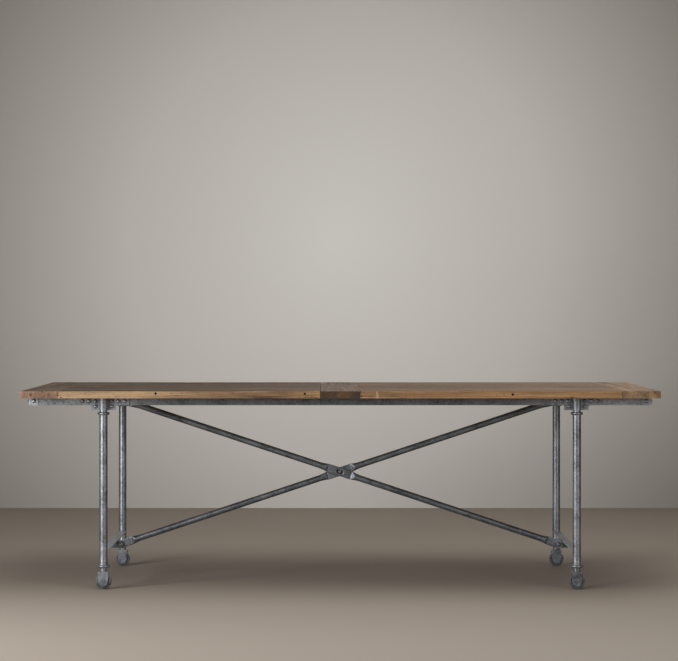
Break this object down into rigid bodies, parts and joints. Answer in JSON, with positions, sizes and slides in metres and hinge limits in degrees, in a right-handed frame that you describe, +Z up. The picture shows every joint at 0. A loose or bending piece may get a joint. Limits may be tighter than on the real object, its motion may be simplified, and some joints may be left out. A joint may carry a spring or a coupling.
{
  "type": "work table",
  "caption": "Long reclaimed-plank table top with cross boards, on an iron frame with round legs, an X brace, flat end stretchers and swivel casters.",
  "frame": {"origin": "on the floor, under the middle of the table top", "axes": "+X along the length of the top, +Y from the front to the back, +Z up"},
  "size_m": [2.438, 1.016, 0.768],
  "materials": {
    "left_plank_1": "worn and waxed",
    "left_plank_2": "worn and waxed",
    "left_plank_3": "worn and waxed",
    "left_plank_4": "worn and waxed",
    "left_plank_5": "worn and waxed",
    "left_plank_6": "worn and waxed",
    "right_plank_1": "worn and waxed",
    "right_plank_2": "worn and waxed",
    "right_plank_3": "worn and waxed",
    "right_plank_4": "worn and waxed",
    "right_plank_5": "worn and waxed",
    "right_plank_6": "worn and waxed",
    "left_end_board": "worn and waxed",
    "centre_board": "worn and waxed",
    "right_end_board": "worn and waxed",
    "rail_iron": "dull mottled grey",
    "clip_iron": "dull mottled grey",
    "bracket_iron": "dull mottled grey",
    "leg_pipe": "mottled grey, slight sheen",
    "collar_iron": "mottled grey, slight sheen",
    "stretcher_iron": "dull pale grey",
    "brace_pipe": "dull mottled grey",
    "bolt_steel": "dark, dull",
    "rivet_iron": "grey, worn bright on the domes",
    "screw_steel": "dull",
    "fork_iron": "dull mottled grey",
    "axle_steel": "dull",
    "wheel_iron": "dull dark grey"
  },
  "bodies": {
    "table_frame": {"left_plank_1": "left_plank_1", "left_plank_2": "left_plank_2", "left_plank_3": "left_plank_3", "left_plank_4": "left_plank_4", "left_plank_5": "left_plank_5", "left_plank_6": "left_plank_6", "right_plank_1": "right_plank_1", "right_plank_2": "right_plank_2", "right_plank_3": "right_plank_3", "right_plank_4": "right_plank_4", "right_plank_5": "right_plank_5", "right_plank_6": "right_plank_6", "left_end_board": "left_end_board", "centre_board": "centre_board", "right_end_board": "right_end_board", "front_rail": "rail_iron", "back_rail": "rail_iron", "left_end_rail": "rail_iron", "right_end_rail": "rail_iron", "left_cross_rail": "rail_iron", "right_cross_rail": "rail_iron", "front_left_corner_clip": "clip_iron", "front_left_bracket": "bracket_iron", "front_left_leg": "leg_pipe", "front_right_corner_clip": "clip_iron", "front_right_bracket": "bracket_iron", "front_right_leg": "leg_pipe", "back_left_corner_clip": "clip_iron", "back_left_bracket": "bracket_iron", "back_left_leg": "leg_pipe", "back_right_corner_clip": "clip_iron", "back_right_bracket": "bracket_iron", "back_right_leg": "leg_pipe", "bracket_backing_plates": "bracket_iron", "upper_leg_collars": "collar_iron", "lower_leg_collars": "collar_iron", "left_stretcher": "stretcher_iron", "right_stretcher": "stretcher_iron", "brace_lugs": "stretcher_iron", "front_brace": "brace_pipe", "rear_brace": "brace_pipe", "crossing_bolt": "bolt_steel", "crossing_nut": "bolt_steel", "brace_end_bolts": "bolt_steel", "brace_end_nuts": "bolt_steel", "bracket_rivets": "rivet_iron", "corner_rivets": "rivet_iron", "board_screws": "screw_steel"},
    "front_left_caster": {"front_left_fork": "fork_iron", "front_left_axle": "axle_steel"},
    "front_left_caster_wheel": {"front_left_wheel": "wheel_iron"},
    "front_right_caster": {"front_right_fork": "fork_iron", "front_right_axle": "axle_steel"},
    "front_right_caster_wheel": {"front_right_wheel": "wheel_iron"},
    "back_left_caster": {"back_left_fork": "fork_iron", "back_left_axle": "axle_steel"},
    "back_left_caster_wheel": {"back_left_wheel": "wheel_iron"},
    "back_right_caster": {"back_right_fork": "fork_iron", "back_right_axle": "axle_steel"},
    "back_right_caster_wheel": {"back_right_wheel": "wheel_iron"}
  },
  "joints": [
    {"name": "front_left_swivel", "type": "hinge", "parent": "table_frame", "child": "front_left_caster", "pos_m": [-0.912, -0.387, 0.069], "axis": [0, 0, 1], "continuous": true},
    {"name": "front_left_wheel_roll", "type": "hinge", "parent": "front_left_caster", "child": "front_left_caster_wheel", "pos_m": [-0.912, -0.387, 0.03], "axis": [0, 1, 0], "continuous": true},
    {"name": "front_right_swivel", "type": "hinge", "parent": "table_frame", "child": "front_right_caster", "pos_m": [0.912, -0.387, 0.069], "axis": [0, 0, 1], "continuous": true},
    {"name": "front_right_wheel_roll", "type": "hinge", "parent": "front_right_caster", "child": "front_right_caster_wheel", "pos_m": [0.912, -0.387, 0.03], "axis": [0, 1, 0], "continuous": true},
    {"name": "back_left_swivel", "type": "hinge", "parent": "table_frame", "child": "back_left_caster", "pos_m": [-0.912, 0.387, 0.069], "axis": [0, 0, 1], "continuous": true},
    {"name": "back_left_wheel_roll", "type": "hinge", "parent": "back_left_caster", "child": "back_left_caster_wheel", "pos_m": [-0.912, 0.387, 0.03], "axis": [0, 1, 0], "continuous": true},
    {"name": "back_right_swivel", "type": "hinge", "parent": "table_frame", "child": "back_right_caster", "pos_m": [0.912, 0.387, 0.069], "axis": [0, 0, 1], "continuous": true},
    {"name": "back_right_wheel_roll", "type": "hinge", "parent": "back_right_caster", "child": "back_right_caster_wheel", "pos_m": [0.912, 0.387, 0.03], "axis": [0, 1, 0], "continuous": true}
  ]
}
